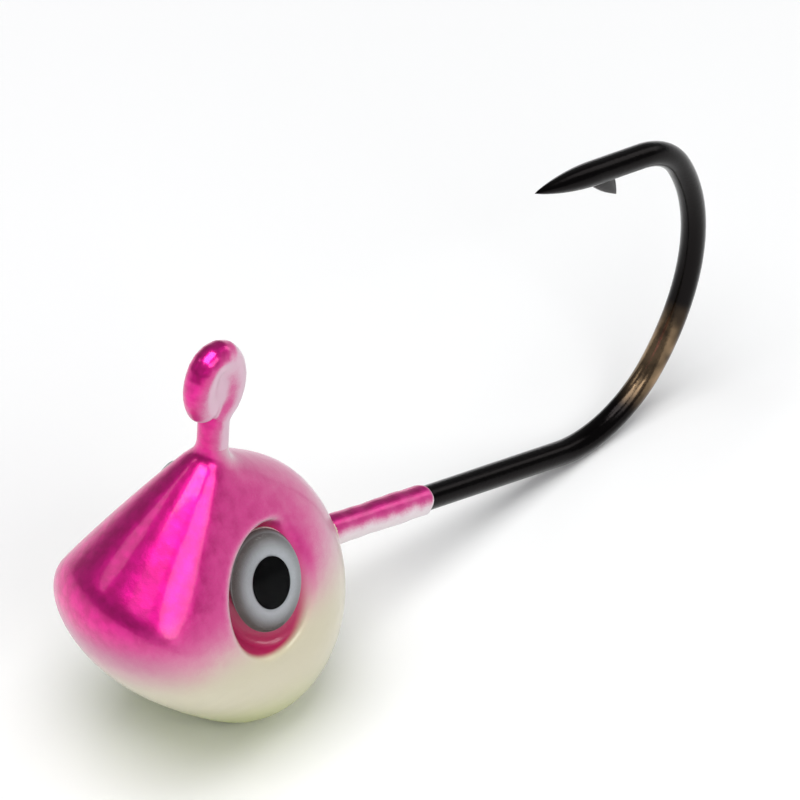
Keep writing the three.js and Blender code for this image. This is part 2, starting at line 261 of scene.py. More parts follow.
def wire_path():
    """Points (y, z) of the wire's centreline, how many bends each has come after, and its headings."""
    runs = [
        (EYE_SIDE_RADIUS, EYE_FLANK_HEADING - FREE_END_HEADING),
        (EYE_END_RADIUS, -2 * EYE_FLANK_HEADING),
        (EYE_SIDE_RADIUS, -EYE_FLANK_HEADING),
        (EYE_END_RADIUS, EYE_FLANK_HEADING - 90),
        (EYE_SHOULDER_RADIUS, EYE_FLANK_HEADING - NECK_LEAN),
        (None, NECK_LENGTH),
        (NECK_BEND_RADIUS, 90 + NECK_LEAN - SHANK_FALL),
        (None, SHANK_LENGTH),
        (HEEL_BEND_RADIUS, HEEL_BEND_RISE + SHANK_FALL),
        (BACK_BEND_RADIUS, BACK_BEND_TURN),
        (TOP_BEND_RADIUS, TOP_BEND_TURN),
        (None, POINT_LEG),
    ]
    at, heading = np.zeros(2), math.radians(FREE_END_HEADING)
    points, headings, parts = [at], [heading], [0]
    for part, (radius, amount) in enumerate(runs):
        length = amount if radius is None else abs(radius * math.radians(amount))
        steps = max(2, round(length / WIRE_STEP))
        turn = 0 if radius is None else math.radians(amount) / steps
        chord = length / steps if radius is None else 2 * radius * math.sin(abs(turn) / 2)
        for _ in range(steps):
            middle = heading + turn / 2
            at = at + chord * np.array([math.cos(middle), math.sin(middle)])
            heading += turn
            points.append(at)
            headings.append(heading)
            parts.append(part)
    points, headings, parts = np.array(points), np.array(headings), np.array(parts)
    bend = (parts >= EYE_BENDS + 3) & (parts < len(runs) - 1)
    points += [REARMOST - points[bend, 0].max(), WIRE_RADIUS - points[bend, 1].min()]
    return points, headings, parts


def sweep(points, headings, radii):
    """A round tube along a path in the plane x = 0, closed at both ends."""
    around = np.linspace(0, 2 * math.pi, RING_POINTS, endpoint=False)
    normals = np.stack([-np.sin(headings), np.cos(headings)], 1)
    rings = np.zeros((len(points), RING_POINTS, 3))
    rings[:, :, 0] = radii[:, None] * np.sin(around)
    outwards = (radii[:, None] * np.cos(around))[..., None] * normals[:, None, :]
    rings[:, :, 1:] = points[:, None, :] + outwards
    return rings.reshape(-1, 3), ring_faces(len(points), RING_POINTS)


PATH, HEADINGS, PARTS = wire_path()
REACH = np.concatenate([[0], np.cumsum(np.linalg.norm(np.diff(PATH, axis=0), axis=1))])


def nearest_on_path(points, path):
    """The nearest point of a path to each (y, z) point."""
    start, run = path[:-1], np.diff(path, axis=0)
    length2 = (run ** 2).sum(1)
    best = np.full(len(points), np.inf)
    foot = np.zeros_like(points)
    for a, r, l2 in zip(start, run, length2):
        share = np.clip(((points - a) @ r) / l2, 0, 1)
        close = a + share[:, None] * r
        gap = ((points - close) ** 2).sum(1)
        nearer = gap < best
        best[nearer] = gap[nearer]
        foot[nearer] = close[nearer]
    return foot


def tube_shape(points, path, radius):
    """Distance and slope of a tube of this radius round a path in the plane x = 0."""
    away = points.copy()
    away[:, 1:] -= nearest_on_path(points[:, 1:], path)
    size = np.linalg.norm(away, axis=1)
    return size - radius, away / np.maximum(size, 1e-9)[:, None]


# ---------------------------------------------------------------- the head


def lobe_forms():
    """For each oval, the matrix that takes a direction to half sizes squared times that direction."""
    forms = []
    for half, lean in zip(LOBE_HALVES, LOBE_LEANS):
        c, s = math.cos(lean), math.sin(lean)
        axes = np.array([[1, 0, 0], [0, c, s], [0, -s, c]])
        forms.append(axes.T @ np.diag(half ** 2) @ axes)
    return np.array(forms)


LOBE_FORMS = lobe_forms()


def support(normals):
    """The head's reach along unit normals, the skin point there, and the skin's bend radii as matrices."""
    lean = np.einsum("lij,nj->nli", LOBE_FORMS, normals)
    length = np.sqrt((lean * normals[:, None, :]).sum(2))
    touch = LOBE_CENTRES + lean / length[..., None]
    reach = (touch * normals[:, None, :]).sum(2)
    top = reach.max(1)
    weight = np.exp((reach - top[:, None]) / LOBE_BLEND)
    total = weight.sum(1)
    weight /= total[:, None]
    far = top + LOBE_BLEND * np.log(total)
    mean = (weight[..., None] * touch).sum(1)
    excess = far - (mean * normals).sum(1)
    point = mean + excess[:, None] * normals
    off = touch - mean[:, None, :]
    radii = np.einsum("nl,nli,nlj->nij", weight / LOBE_BLEND, off, off)
    radii -= np.einsum("nl,nli,nlj->nij", weight / length ** 3, lean, lean)
    radii += np.einsum("nl,lij->nij", weight / length, LOBE_FORMS)
    radii += excess[:, None, None] * np.eye(3)
    return far, point, radii


def even_directions(count):
    """Unit vectors spread evenly over the sphere."""
    k = np.arange(count) + 0.5
    height = 1 - 2 * k / count
    turn = math.pi * (1 + math.sqrt(5)) * k
    ring = np.sqrt(1 - height ** 2)
    return np.stack([ring * np.cos(turn), ring * np.sin(turn), height], 1)


DIRECTIONS = even_directions(START_NORMALS)
DIRECTION_REACH = support(DIRECTIONS)[0]


def rough_head(points):
    """Distance to the head by trying every direction in turn, and the direction that gave it."""
    distance = np.full(len(points), -np.inf)
    chosen = np.zeros(len(points), int)
    for k, (direction, reach) in enumerate(zip(DIRECTIONS, DIRECTION_REACH)):
        gap = points @ direction - reach
        nearer = gap > distance
        distance[nearer] = gap[nearer]
        chosen[nearer] = k
    return distance, DIRECTIONS[chosen]


def head_form(points, start=None):
    """Distance and slope of the bare head form: for each point, the tangent plane furthest below it."""
    normals = rough_head(points)[1] if start is None else start.copy()
    far, touch, radii = support(normals)
    distance = (points * normals).sum(1) - far
    stiffness = np.zeros(len(points))
    for _ in range(PLANE_TRIES if start is None else PLANE_TRIES // 2):
        gap = points - touch
        height = (gap * normals).sum(1)
        across = gap - height[:, None] * normals
        flat = np.eye(3) - normals[:, :, None] * normals[:, None, :]
        bend = radii + (np.maximum(height, 0) + stiffness)[:, None, None] * np.eye(3)
        bend = flat @ bend @ flat + normals[:, :, None] * normals[:, None, :]
        tried = unit(normals + np.linalg.solve(bend, across[..., None])[..., 0])
        tried_far, tried_touch, tried_radii = support(tried)
        tried_distance = (points * tried).sum(1) - tried_far
        better = tried_distance > distance
        normals[better] = tried[better]
        far[better] = tried_far[better]
        distance[better] = tried_distance[better]
        touch[better], radii[better] = tried_touch[better], tried_radii[better]
        stiffness = np.where(better, stiffness / 4, np.maximum(stiffness * 6, 1))
    return distance, normals


def eye_axes(side):
    """The eye's own axes as rows: across, up the long way, and out of the socket."""
    azimuth, tilt, roll = (math.radians(a) for a in (EYE_AZIMUTH, EYE_TILT, side * -EYE_ROLL))
    out = np.array([side * math.sin(azimuth) * math.cos(tilt),
                    -math.cos(azimuth) * math.cos(tilt), math.sin(tilt)])
    up = unit(np.array([0, 0, 1]) - out[2] * out)
    up = up * math.cos(roll) + np.cross(out, up) * math.sin(roll)
    return np.stack([np.cross(up, out), up, out])


def socket_shape(points):
    """Distance and slope of the left eye's socket, as a solid oval plug with a rounded floor."""
    axes = eye_axes(1)
    local = (points - EYE_CENTRE) @ axes.T
    half = np.array(SOCKET_HALF) - SOCKET_PAINT
    spot = local[:, :2] - [-SOCKET_SHIFT[0], SOCKET_SHIFT[1]]
    share = np.maximum(np.linalg.norm(spot / half, axis=1), 1e-6)
    lean = spot / half ** 2 / share[:, None]
    steep = np.linalg.norm(lean, axis=1)
    wall = (share - 1) / steep, np.column_stack([lean / steep[:, None], np.zeros(len(points))]) @ axes
    floor = -SOCKET_DEPTH + SOCKET_PAINT - local[:, 2], np.tile(-axes[2], (len(points), 1))
    return soft_max([wall, floor], LIP_ROUNDING)


def skin_shape(points, head):
    """Distance and slope of the painted skin on the side x >= 0, from those of the bare head form."""
    skin = head[0] - SKIN_OFFSET, head[1]
    wires = tube_shape(points, COLLAR_PATH, WIRE_RADIUS + WIRE_COAT - COLLAR_INSET)
    body = soft_min([skin, wires], SKIN_FILLET)
    body = soft_max([body, opposite(socket_shape(points))], LIP_ROUNDING)
    under = -points[:, 2], np.tile([0.0, 0.0, -1.0], (len(points), 1))
    return soft_max([body, under], BELLY_ROUNDING)


class SkinSurface:
    """Distance and slope of the whole skin. Each call starts from the last one's tangent planes."""

    def __init__(self):
        self.normals = None

    def __call__(self, points):
        side = np.where(points[:, :1] < 0, -1, 1)
        mirror = np.hstack([side, np.ones((len(points), 2))])
        distance, self.normals = head_form(points * mirror, self.normals)
        distance, slope = skin_shape(points * mirror, (distance, self.normals))
        return distance, slope * mirror


def finer(coarse, ratio):
    """A grid with ratio times the points, filled in along straight lines."""
    for axis in range(3):
        size = coarse.shape[axis]
        at = np.arange((size - 1) * ratio + 1) / ratio
        low = np.minimum(at.astype(int), size - 2)
        share = (at - low).reshape([-1 if k == axis else 1 for k in range(3)])
        coarse = np.take(coarse, low, axis) * (1 - share) + np.take(coarse, low + 1, axis) * share
    return coarse


WIRE_DISTANCE = head_form(np.column_stack([np.zeros(len(PATH)), PATH]))[0]  # from the bare head


def collar_path():
    """The part of the wire's path inside the head, and a little beyond the skin at each end."""
    near = np.flatnonzero(WIRE_DISTANCE < COLLAR_REACH)
    return PATH[near.min():near.max() + 1:COLLAR_STRIDE]


COLLAR_PATH = collar_path()


def grid_points(low, high, step):
    """A block of points in rows, and the shape of the block."""
    counts = [int(np.ceil((h - l) / step)) + 1 for l, h in zip(low, high)]
    spots = np.stack(np.meshgrid(*[np.arange(n) for n in counts], indexing="ij"), -1)
    return (spots * step + low).reshape(-1, 3), counts


def folded(points):
    """The same points, mirrored to the side x >= 0."""
    return np.column_stack([np.abs(points[:, 0]), points[:, 1:]])


def head_skin():
    """Points and quads of the painted skin, and how deep each point is sunk into a socket."""
    coarse, counts = grid_points(HEAD_LOW, HEAD_HIGH, COARSE_STEP)
    rough = finer(rough_head(coarse)[0].reshape(counts), round(COARSE_STEP / SKIN_STEP))
    last = HEAD_LOW + (np.array(rough.shape) - 1.5) * SKIN_STEP
    points = grid_points(HEAD_LOW, last, SKIN_STEP)[0]
    field = rough.ravel().copy()
    band = np.abs(field) < NEAR_SKIN
    no_slope = np.zeros((band.sum(), 3))
    field[band] = skin_shape(folded(points[band]), (field[band], no_slope))[0]
    mesh, quads = surface_nets(field.reshape(rough.shape), HEAD_LOW, SKIN_STEP)
    surface = SkinSurface()
    mesh = settle_on(mesh, quads, surface)
    sunk = SKIN_OFFSET - head_form(folded(mesh), surface.normals)[0]
    return mesh, quads, sunk * (mesh[:, 2] > BELLY_TOP)


# ---------------------------------------------------------------- the wire and its paint


def wire_to(inside):
    """The painted eye and neck of the wire, down to this depth inside the head."""
    return PATH[:int(np.argmax(WIRE_DISTANCE < -inside)) + 1]


def inside_loop(spots, loop):
    """Whether each (y, z) spot is inside a closed outline."""
    count = np.zeros(len(spots), bool)
    for a, b in zip(loop, np.roll(loop, -1, axis=0)):
        spans = (a[1] > spots[:, 1]) != (b[1] > spots[:, 1])
        rise = b[1] - a[1] or 1e-9
        count ^= spans & (spots[:, 0] < a[0] + (spots[:, 1] - a[1]) / rise * (b[0] - a[0]))
    return count


class LineTieSurface:
    """Distance and slope of the painted line tie: a tube round the wire and a film across its eye."""

    def __init__(self):
        self.neck = wire_to(NECK_COAT_DEPTH)[::2]
        self.loop = PATH[:int(np.argmax(PARTS == EYE_BENDS))]

    def __call__(self, points):
        tube = tube_shape(points, self.neck, WIRE_RADIUS + WIRE_COAT)
        away = points[:, 1:] - nearest_on_path(points[:, 1:], self.loop)
        outside = np.linalg.norm(away, axis=1)
        within = inside_loop(points[:, 1:], self.loop)
        sign = np.where(within, -1, 1)
        slope = np.zeros_like(points)
        slope[:, 1:] = away * (sign / np.maximum(outside, 1e-9))[:, None]
        hollow = FILM_DIP * np.exp(-((outside - FILM_DIP_REACH) / FILM_DIP_REACH) ** 2) * within
        side = np.zeros_like(points)
        side[:, 0] = np.sign(points[:, 0])
        film = soft_max([(outside * sign, slope),
                         (np.abs(points[:, 0]) - FILM_HALF + hollow, side)], FILM_BLEND / 2)
        return soft_min([tube, film], FILM_BLEND)


def line_tie_mesh():
    surface = LineTieSurface()
    neck = surface.neck
    low = np.array([0, *neck.min(0)]) - LINE_TIE_MARGIN
    high = np.array([0, *neck.max(0)]) + LINE_TIE_MARGIN
    points, counts = grid_points(low, high, LINE_TIE_STEP)
    mesh, quads = surface_nets(surface(points)[0].reshape(counts), low, LINE_TIE_STEP)
    return settle_on(mesh, quads, surface), quads


def path_at(reaches):
    """Points and headings of the wire at these lengths along it."""
    spots = np.column_stack([np.interp(reaches, REACH, PATH[:, k]) for k in (0, 1)])
    return spots, np.interp(reaches, REACH, HEADINGS)


def hook_mesh():
    """The whole wire, with its cut end rounded and its point ground to a needle."""
    length = REACH[-1]
    needle = length - NEEDLE_LENGTH * np.linspace(1, 0, NEEDLE_STEPS) ** NEEDLE_SPACING
    plain = np.arange(PLAIN_START, length - NEEDLE_LENGTH - PLAIN_END, WIRE_STEP)
    reaches = np.concatenate([FREE_END_REACHES, plain, needle])
    left = np.clip((length - reaches) / NEEDLE_LENGTH, 0, 1)
    radii = WIRE_RADIUS * np.sin(left * math.pi / 2) ** NEEDLE_BLUNTNESS
    radii = np.maximum(radii, POINT_TIP)
    radii[:len(FREE_END_SHARES)] *= FREE_END_SHARES
    return sweep(*path_at(reaches), radii)


def point_place(back, inner, across):
    """A place given back along the wire from the tip, towards the shank, and sideways."""
    tip, heading = PATH[-1], HEADINGS[-1]
    forward = np.array([math.cos(heading), math.sin(heading)])
    left = np.array([-math.sin(heading), math.cos(heading)])
    spot = tip - back * forward + inner * left
    return [across, spot[0], spot[1]]


def barb_mesh():
    """The sliver of wire raised behind the point, round in section and drawn out to an edge."""
    points = []
    for share in np.linspace(0, 1, BARB_RINGS):
        bow = BARB_BOW * math.sin(math.pi * share)
        outer = BARB_FOOT + (BARB_TIP - BARB_FOOT) * share + BARB_OUTER_BOW * bow
        under = BARB_HEEL + (BARB_TIP - BARB_HEEL) * share + BARB_INNER_BOW * bow
        middle, reach = (outer + under) / 2, (outer - under) / 2 + BARB_SPREAD
        width = BARB_THICKNESS / 2 * (1 - share) ** BARB_TAPER + BARB_EDGE
        for j in range(BARB_RING_POINTS):
            turn = 2 * math.pi * (j + 0.5) / BARB_RING_POINTS
            spot = middle + reach * math.cos(turn)
            points.append(point_place(spot[0], spot[1], width * math.sin(turn)))
    return points, ring_faces(BARB_RINGS, BARB_RING_POINTS, outwards=False)


def joined(piece, tool, operation):
    """The piece with the tool added to it or cut out of it. The tool is removed."""
    cut = piece.modifiers.new("cut", "BOOLEAN")
    cut.operation = operation
    cut.solver = "EXACT"
    cut.object = tool
    graph = bpy.context.evaluated_depsgraph_get()
    mesh = bpy.data.meshes.new_from_object(piece.evaluated_get(graph))
    piece.modifiers.clear()
    piece.data = mesh
    bpy.data.objects.remove(tool)
    return piece


def shank_coat_mesh():
    """The paint sleeve on the shank, from inside the head to an uneven rounded edge."""
    first = REACH[np.flatnonzero(WIRE_DISTANCE < -SHANK_COAT_DEPTH)[-1]]
    shank = (PARTS == EYE_BENDS + 2) | (PARTS == EYE_BENDS + 3)
    last = np.interp(SHANK_COAT_END, PATH[shank, 0], REACH[shank])
    plain = np.arange(first, last - 1.5 * SLEEVE_STEP, SLEEVE_STEP)
    reaches = np.concatenate([plain, last - np.array(RIM_REACHES)])
    radii = np.full(len(reaches), WIRE_RADIUS + WIRE_COAT)
    radii += sum(height * np.sin(reaches * rate + start) for height, rate, start in SLEEVE_WAVES)
    radii[-len(RIM_SHARES):] = WIRE_RADIUS + WIRE_COAT * np.array(RIM_SHARES)
    points, faces = sweep(*path_at(reaches), radii)
    turn = np.tile(np.linspace(0, 2 * math.pi, RING_POINTS, endpoint=False), len(reaches))
    wave = sum(height * np.sin(count * turn + start) for height, count, start in RIM_WAVES)
    fade = np.repeat(np.clip(1 - (last - reaches) / RIM_WAVE_REACH, 0, 1), RING_POINTS)
    fall = math.radians(SHANK_FALL)
    points[:, 1] += wave * fade * math.cos(fall)
    points[:, 2] -= wave * fade * math.sin(fall)
    return points, faces


# ---------------------------------------------------------------- the eyes


def oval_stack(side, rings, shift=(0, 0)):
    """A closed oval piece in an eye's socket from rings of half sizes and heights out of the socket."""
    turn = np.linspace(0, 2 * math.pi, OVAL_POINTS, endpoint=False)
    axes = eye_axes(side)
    centre = EYE_CENTRE * [side, 1, 1] + side * shift[0] * axes[0] + shift[1] * axes[1]
    points = []
    for half_across, half_up, height in rings:
        local = np.column_stack([half_across * np.cos(turn), half_up * np.sin(turn),
                                 np.full(OVAL_POINTS, height)])
        points.extend(local @ axes + centre)
    return points, ring_faces(len(rings), OVAL_POINTS)


def plate_rings(half, bottom, top, edge):
    """Rings of a flat oval plate with rounded edges."""
    return [(half[0] - inset, half[1] - inset, height) for inset, height in (
        (edge, bottom), (edge * 0.3, bottom + edge * 0.3), (0, bottom + edge),
        (0, top - edge), (edge * 0.3, top - edge * 0.3), (edge, top))]


def foil_rings(half):
    """Rings of the foil plate, with more of them across its face, where its shading changes."""
    rings = plate_rings(half, PAD_TOP + PLATE_GAP, FOIL_TOP, FOIL_EDGE)
    return rings + [(half[0] * share, half[1] * share, FOIL_TOP) for share in FOIL_SHARES]


def ring_shares(side, points):
    """How far each foil point is from the pupil's middle, as a share of the eye's half sizes."""
    axes = eye_axes(side)
    local = (points - EYE_CENTRE * [side, 1, 1]) @ axes[:2].T - [side * PUPIL_SHIFT[0], PUPIL_SHIFT[1]]
    return np.linalg.norm(local / EYE_HALF, axis=1)


def dome_rings():
    """Rings of the clear dome, from its flat back over its rim to a nearly closed crown."""
    across, up = EYE_HALF
    back = FOIL_TOP - DOME_SINK
    rings = [(across - DOME_EDGE, up - DOME_EDGE, back), (across, up, back + DOME_EDGE)]
    rim = DOME_BOTTOM + DOME_RIM
    for share in np.linspace(0, DOME_LAST, DOME_RINGS):
        angle = share * math.pi / 2
        rings.append((across * math.cos(angle), up * math.cos(angle), rim + DOME_RISE * math.sin(angle)))
    return rings


# ---------------------------------------------------------------- materials


class Paintbox:
    """A node material being built. Calling it adds a node; sockets or plain values can be its inputs."""

    def __init__(self, name):
        self.material = bpy.data.materials.new(name)
        self.material.use_nodes = True
        self.tree = self.material.node_tree
        self.tree.nodes.clear()
        self.output = self.tree.nodes.new("ShaderNodeOutputMaterial")

    def __call__(self, kind, inputs=None, **settings):
        node = self.tree.nodes.new("ShaderNode" + kind)
        for key, value in settings.items():
            setattr(node, key, value)
        for key, value in (inputs or {}).items():
            self.feed(node.inputs[key], value)
        return node

    def feed(self, socket, value):
        if isinstance(value, bpy.types.NodeSocket):
            self.tree.links.new(value, socket)
        else:
            socket.default_value = value

    def math(self, operation, *values):
        node = self("Math", operation=operation)
        for socket, value in zip(node.inputs, values):
            self.feed(socket, value)
        return node.outputs[0]

    def ramp(self, value, low, high, to_low=0.0, to_high=1.0):
        """value taken smoothly from low..high to to_low..to_high."""
        node = self("MapRange", {"Value": value, "From Min": low, "From Max": high,
                                 "To Min": to_low, "To Max": to_high}, interpolation_type="SMOOTHSTEP")
        return node.outputs["Result"]

    def mix(self, share, one, two):
        """A colour between two others."""
        node = self("Mix", data_type="RGBA")
        for name, value in (("Factor_Float", share), ("A_Color", one), ("B_Color", two)):
            socket = next(s for s in node.inputs if s.identifier == name)
            self.feed(socket, value)
        return next(s for s in node.outputs if s.identifier == "Result_Color")

    def noise(self, scale, detail=2.0, roughness=0.5):
        """Noise from 0 to 1 with this many features per millimetre."""
        place = self("TexCoord").outputs["Object"]
        node = self("TexNoise", {"Vector": place, "Scale": scale / MM, "Detail": detail,
                                 "Roughness": roughness})
        return node.outputs["Fac"]

    def bump(self, height, depth, under=None):
        """A normal bent by a height from 0 to 1 that is depth millimetres deep."""
        node = self("Bump", {"Height": height, "Distance": depth * MM, "Strength": 1.0})
        if under is not None:
            self.feed(node.inputs["Normal"], under)
        return node.outputs["Normal"]

    def finish(self, shader):
        self.tree.links.new(shader, self.output.inputs["Surface"])
        return self.material


def rgb(red, green, blue):
    """A colour given in display values from 0 to 255."""
    linear = [(v / 255 / 12.92) if v < 11 else ((v / 255 + 0.055) / 1.055) ** 2.4
              for v in (red, green, blue)]
    return (*linear, 1.0)


SPRAY = (-0.2, -0.6, 0.77)  # towards where the candy coat was sprayed from
CANDY_TILT = 0.34  # rise of the candy's lower edge towards the head's left side
GLOW_TILT = 0.35  # fall of the glow paint's upper edge towards the same side
CANDY, CANDY_DEEP = rgb(236, 22, 150), rgb(156, 6, 76)
BLUSH, PEARL, WHITE_PEARL = rgb(206, 78, 142), rgb(214, 168, 184), rgb(232, 216, 222)
CREAM, GLOW = rgb(208, 200, 170), rgb(182, 190, 108)
TIE_PEARL = rgb(220, 178, 198)
CANDY_FADE, BLUSH_START, THIN_BLUSH_START, BLUSH_END = (0.0, 0.6), -0.5, -0.22, 0.2
CANDY_EDGE, BLUSH_EDGE = (7.2, 9.2), (5.2, 8.2)  # heights over which these fade in, upwards
PEARL_EDGE, GLOW_EDGE = (4.6, 8.6), (0.6, 6.2)  # from cream up to pearl, and from glow up to cream
SOCKET_EDGE = (0.12, 0.5)  # depths over which a socket turns deep red, from candy pooled in it and painted shade
CANDY_METAL = 0.92
FLAKE_SIZE, FLAKE_DEPTH = 16, 0.0018  # flakes per millimetre, and how deep they lie
# deep red of the sockets' walls: pooled candy, and painted shade in the recess
SOCKET_RED_SHADE = rgb(178, 34, 88)
WARM_HIGHLIGHT_SPOT, WARM_HIGHLIGHT_REACH = (0.3, 22.9, 2.6), 2.6  # a painted warm highlight on the hook's back bend, and its radius
RESIN_IOR = 1.5
RESIN_GLARE = 0.2  # share of the resin's full mirror reflection that is kept
BACKDROP_BLEND = (45, 150)  # from the object out, where the floor turns into the white backdrop


def ragged_edge(paint, mottle):
    """Small ups and downs about zero, which roughen the edges of sprayed paint."""
    overspray = paint.noise(14, 2)
    ragged = paint.math("ADD", paint.math("MULTIPLY", mottle, 0.22),
                        paint.math("MULTIPLY", overspray, 0.16))
    return paint.math("SUBTRACT", ragged, 0.19)


def head_bands(paint, place, ragged):
    """How far candy and blush reach down the head, and the pearl, cream and glow paint under them."""
    spot = paint("SeparateXYZ", {"Vector": place})
    height = paint.math("DIVIDE", spot.outputs["Z"], MM)
    aside = paint.math("DIVIDE", spot.outputs["X"], MM)
    tilted = paint.math("SUBTRACT", height, paint.math("MULTIPLY", aside, CANDY_TILT))
    band = paint.math("ADD", tilted, paint.math("MULTIPLY", ragged, 2.0))
    clear_of_glow = paint.math("ADD", height, paint.math("MULTIPLY", aside, GLOW_TILT))
    base = paint.mix(paint.ramp(clear_of_glow, *GLOW_EDGE), GLOW, CREAM)
    base = paint.mix(paint.ramp(tilted, *PEARL_EDGE), base, PEARL)
    return paint.ramp(band, *CANDY_EDGE), paint.ramp(band, *BLUSH_EDGE), base


def flaked_surface(paint, place, mottle):
    """The normal of paint with metal flakes in it, which lies a little unevenly."""
    flake = paint("TexVoronoi", {"Vector": place, "Scale": FLAKE_SIZE / MM})
    lay = paint.bump(flake.outputs["Color"], FLAKE_DEPTH)
    lay = paint.bump(paint.noise(0.55, 1), 0.05, lay)
    return paint.bump(mottle, 0.012, lay)


def painted(name, under=None):
    """Candy magenta sprayed from the front and top over the colour under it.

    Without one colour for under, that is pearl and cream down to a glow yellow-green belly."""
    paint = Paintbox(name)
    coordinates = paint("TexCoord").outputs
    facing = paint("VectorMath", {0: coordinates["Normal"], 1: SPRAY}, operation="DOT_PRODUCT")
    mottle = paint.noise(2.2, 3)
    ragged = ragged_edge(paint, mottle)
    reach = paint.math("ADD", facing.outputs["Value"], ragged)
    coverage = paint.ramp(reach, *CANDY_FADE)
    blush = paint.ramp(reach, BLUSH_START if under is None else THIN_BLUSH_START, BLUSH_END)
    base = under
    if under is None:
        candy_band, blush_band, base = head_bands(paint, coordinates["Object"], ragged)
        coverage = paint.math("MULTIPLY", coverage, candy_band)
        blush = paint.math("MULTIPLY", blush, blush_band)
    colour = paint.mix(blush, base, BLUSH)
    tint = paint.mix(paint.ramp(mottle, 0.3, 0.7, 0.0, 0.35), CANDY, CANDY_DEEP)
    colour = paint.mix(coverage, colour, tint)
    metallic = paint.math("MULTIPLY", coverage, CANDY_METAL)
    if under is None:
        # Sockets darken to deep red with depth: candy pooled in the recess, and painted shade there.
        sunk = paint("Attribute", attribute_name="sunk").outputs["Fac"]
        hollow = paint.ramp(sunk, *SOCKET_EDGE)
        colour = paint.mix(hollow, colour, SOCKET_RED_SHADE)
        metallic = paint.math("MULTIPLY", metallic, paint.math("SUBTRACT", 1.0, hollow))
    lay = flaked_surface(paint, coordinates["Object"], mottle)
    peel = paint.bump(paint.noise(0.6, 1), 0.03)
    shader = paint("BsdfPrincipled", {
        "Base Color": colour, "Metallic": metallic, "Roughness": paint.ramp(coverage, 0, 1, 0.36, 0.32),
        "IOR": 1.5, "Normal": lay, "Coat Weight": 0.55, "Coat Roughness": 0.1, "Coat Normal": peel})
    return paint.finish(shader.outputs["BSDF"])


def black_nickel():
    """Dark plated steel with fine scratches, and a painted warm highlight where the bend leaves the heel.
    """
    paint = Paintbox("black_nickel")
    place = paint("TexCoord").outputs["Object"]
    highlight_spot = [c * MM for c in WARM_HIGHLIGHT_SPOT]
    away = paint("VectorMath", {0: place, 1: highlight_spot}, operation="DISTANCE").outputs["Value"]
    cloud = paint.noise(0.7, 2)
    # painted highlight: a warm glint baked into the colour of the back bend
    warm = paint.ramp(paint.math("DIVIDE", away, MM), WARM_HIGHLIGHT_REACH, 0.6)
    warm = paint.math("MULTIPLY", warm, paint.ramp(cloud, 0.2, 0.6))
    colour = paint.mix(warm, rgb(28, 26, 26), rgb(160, 134, 104))
    scratch = paint.noise(9, 3, 0.7)
    shader = paint("BsdfPrincipled", {
        "Base Color": colour, "Metallic": 1.0,
        "Roughness": paint.ramp(scratch, 0.2, 0.8, 0.1, 0.26),
        "Normal": paint.bump(scratch, 0.006)})
    return paint.finish(shader.outputs["BSDF"])


def cast_lead():
    paint = Paintbox("cast_lead")
    grain = paint.noise(3, 4, 0.7)
    colour = paint.mix(grain, rgb(96, 98, 102), rgb(150, 152, 156))
    shader = paint("BsdfPrincipled", {
        "Base Color": colour, "Metallic": 0.9, "Roughness": paint.ramp(grain, 0.2, 0.8, 0.4, 0.7),
        "Normal": paint.bump(grain, 0.03)})
    return paint.finish(shader.outputs["BSDF"])


def adhesive():
    paint = Paintbox("adhesive")
    grain = paint.noise(6, 3)
    colour = paint.mix(grain, rgb(214, 210, 200), rgb(236, 234, 228))
    shader = paint("BsdfPrincipled", {
        "Base Color": colour, "Roughness": 0.6, "Subsurface Weight": 0.1,
        "Subsurface Radius": (MM, MM, MM), "Normal": paint.bump(grain, 0.02)})
    return paint.finish(shader.outputs["BSDF"])


def silver_foil():
    """Bright foil with fine embossed grain, darker towards its rim as painted shade for the dark edge of
    the dome over it.
    """
    paint = Paintbox("silver_foil")
    ring = paint("Attribute", attribute_name="ring").outputs["Fac"]
    grain = paint.noise(8, 3, 0.7)
    # painted shade: the foil darkens towards its rim, standing in for the dark edge of the dome
    rim_shaded_tone = paint.mix(paint.ramp(ring, 0.56, 0.94), rgb(196, 198, 202), rgb(92, 80, 74))
    colour = paint.mix(paint.math("MULTIPLY", grain, 0.3), rim_shaded_tone, rgb(120, 122, 126))
    shader = paint("BsdfPrincipled", {
        "Base Color": colour, "Metallic": 0.3, "Roughness": paint.ramp(grain, 0.3, 0.7, 0.3, 0.5),
        "Normal": paint.bump(grain, 0.012)})
    return paint.finish(shader.outputs["BSDF"])


def pupil_ink():
    paint = Paintbox("pupil_ink")
    grain = paint.noise(5, 2)
    colour = paint.mix(grain, rgb(1, 1, 1), rgb(5, 5, 6))
    shader = paint("BsdfPrincipled", {
        "Base Color": colour, "Roughness": 0.6, "Specular IOR Level": 0.04,
        "Normal": paint.bump(grain, 0.001)})
    return paint.finish(shader.outputs["BSDF"])


def clear_resin():
    """Clear cast resin. Light on its way to a lamp goes straight through, so what is under it is lit."""
    paint = Paintbox("clear_resin")
    ripple = paint.bump(paint.noise(0.5, 1), 0.015)
    bent = paint("BsdfRefraction", {"Color": rgb(250, 252, 252), "Roughness": 0.0, "IOR": RESIN_IOR,
                                    "Normal": ripple})
    mirrored = paint("BsdfGlossy", {"Roughness": 0.02, "Normal": ripple})
    share = paint("Fresnel", {"IOR": RESIN_IOR, "Normal": ripple}).outputs["Fac"]
    share = paint.math("MULTIPLY", share, RESIN_GLARE)
    clear = paint("MixShader", {0: share, 1: bent.outputs["BSDF"], 2: mirrored.outputs["BSDF"]})
    through = paint("BsdfTransparent", {"Color": rgb(236, 238, 238)})
    rays = paint("LightPath").outputs
    straight = paint.math("MAXIMUM", rays["Is Shadow Ray"], rays["Is Diffuse Ray"])
    shader = paint("MixShader", {0: straight, 1: clear.outputs["Shader"], 2: through.outputs["BSDF"]})
    return paint.finish(shader.outputs["Shader"])


